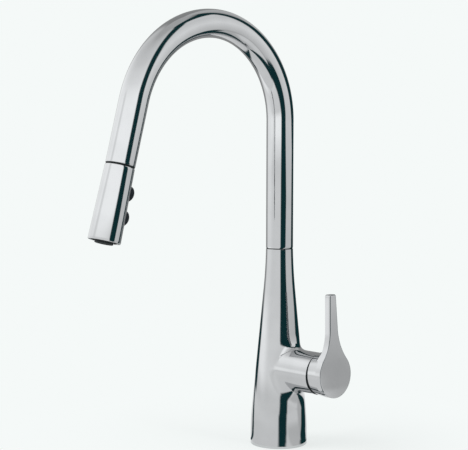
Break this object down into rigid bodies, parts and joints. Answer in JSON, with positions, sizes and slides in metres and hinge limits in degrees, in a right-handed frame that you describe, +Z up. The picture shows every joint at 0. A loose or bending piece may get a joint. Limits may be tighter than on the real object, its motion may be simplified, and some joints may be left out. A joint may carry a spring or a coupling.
{
  "type": "pull-out kitchen faucet",
  "caption": "Chrome kitchen faucet with a swivelling arched spout, a pull-out spray head with push buttons and a side lever that mixes hot and cold water.",
  "frame": {"origin": "centre of the base on the sink deck", "axes": "+Z up along the column, -Y towards the spout's outlet at rest, +X towards the side handle"},
  "size_m": [0.1019, 0.2547, 0.413],
  "materials": {
    "chrome": "polished",
    "black_trim": "satin",
    "button_black": "satin",
    "spray_plate": "satin",
    "brass": "machined",
    "copper": "drawn tube",
    "steel": "machined",
    "rubber_black": "matt",
    "bearing_plastic": "moulded",
    "white_plastic": "moulded",
    "ceramic": "lapped",
    "hose_grey": "smooth"
  },
  "bodies": {
    "body": {"body_shell": "chrome", "base_gasket": "rubber_black", "base_lock_ring": "brass", "base_manifold": "brass", "hose_guide": "bearing_plastic", "hot_riser": "copper", "cold_riser": "copper", "mixed_pipe": "copper", "valve_body": "brass", "port_seals": "rubber_black", "cartridge_base": "bearing_plastic", "fixed_disc": "ceramic", "cartridge_housing": "bearing_plastic", "cartridge_nut": "brass", "dome_ring": "black_trim", "lower_bush": "bearing_plastic", "seam_bush": "black_trim", "swivel_stop_screw": "steel"},
    "spout": {"spout_tube": "chrome", "spout_sleeve": "brass", "retaining_ring": "steel", "dock_insert": "black_trim", "hose": "hose_grey"},
    "hose_end": {"hose_ferrule": "steel", "hose_nut": "brass", "hose_seal": "rubber_black"},
    "spray_head": {"spray_inlet": "white_plastic", "check_valve": "white_plastic", "spray_shell": "chrome", "spray_core": "white_plastic", "core_seal": "rubber_black", "spray_face": "spray_plate", "aerator": "spray_plate", "nozzles": "rubber_black", "upper_return": "rubber_black", "lower_return": "rubber_black"},
    "upper_button": {"upper_button": "button_black"},
    "lower_button": {"lower_button": "button_black"},
    "mixing_rotor": {"mixing_rotor": "bearing_plastic", "rotor_pin": "steel"},
    "moving_disc": {"moving_disc": "ceramic", "disc_carrier": "bearing_plastic"},
    "handle": {"handle_lever": "chrome", "cartridge_stem": "steel", "handle_set_screw": "steel", "set_screw_cap": "black_trim"}
  },
  "joints": [
    {"name": "spout_swivel", "type": "hinge", "parent": "body", "child": "spout", "pos_m": [0, 0, 0.19], "axis": [0, 0, 1], "range_deg": [-75, 75]},
    {"name": "spray_head_pull", "type": "slide", "parent": "spout", "child": "hose_end", "axis": [0, -0.2672, -0.9636], "range_m": [0, 0.2], "deforming": ["hose"]},
    {"name": "spray_head_turn", "type": "hinge", "parent": "hose_end", "child": "spray_head", "pos_m": [0, -0.1957, 0.274], "axis": [0, -0.2672, -0.9636], "continuous": true},
    {"name": "upper_button_press", "type": "slide", "parent": "spray_head", "child": "upper_button", "axis": [0, -0.9636, 0.2672], "range_m": [0, 0.002], "stiffness_N_per_m": 1500, "springref_m": -0.0005, "deforming": ["upper_return"]},
    {"name": "lower_button_press", "type": "slide", "parent": "spray_head", "child": "lower_button", "axis": [0, -0.9636, 0.2672], "range_m": [0, 0.002], "stiffness_N_per_m": 1500, "springref_m": -0.0005, "deforming": ["lower_return"]},
    {"name": "handle_temperature", "type": "hinge", "parent": "body", "child": "mixing_rotor", "pos_m": [0.0422, 0, 0.075], "axis": [1, 0, 0], "range_deg": [-50, 50]},
    {"name": "handle_flow", "type": "hinge", "parent": "mixing_rotor", "child": "handle", "pos_m": [0.0422, 0, 0.075], "axis": [0, 1, 0], "range_deg": [0, 22]},
    {"name": "disc_slide", "type": "slide", "parent": "mixing_rotor", "child": "moving_disc", "axis": [0, 0, 1], "range_m": [0, 0.0032]}
  ],
  "couplings": [
    {"joint": "disc_slide", "follows": "handle_flow", "m_per_rad": 0.008}
  ]
}
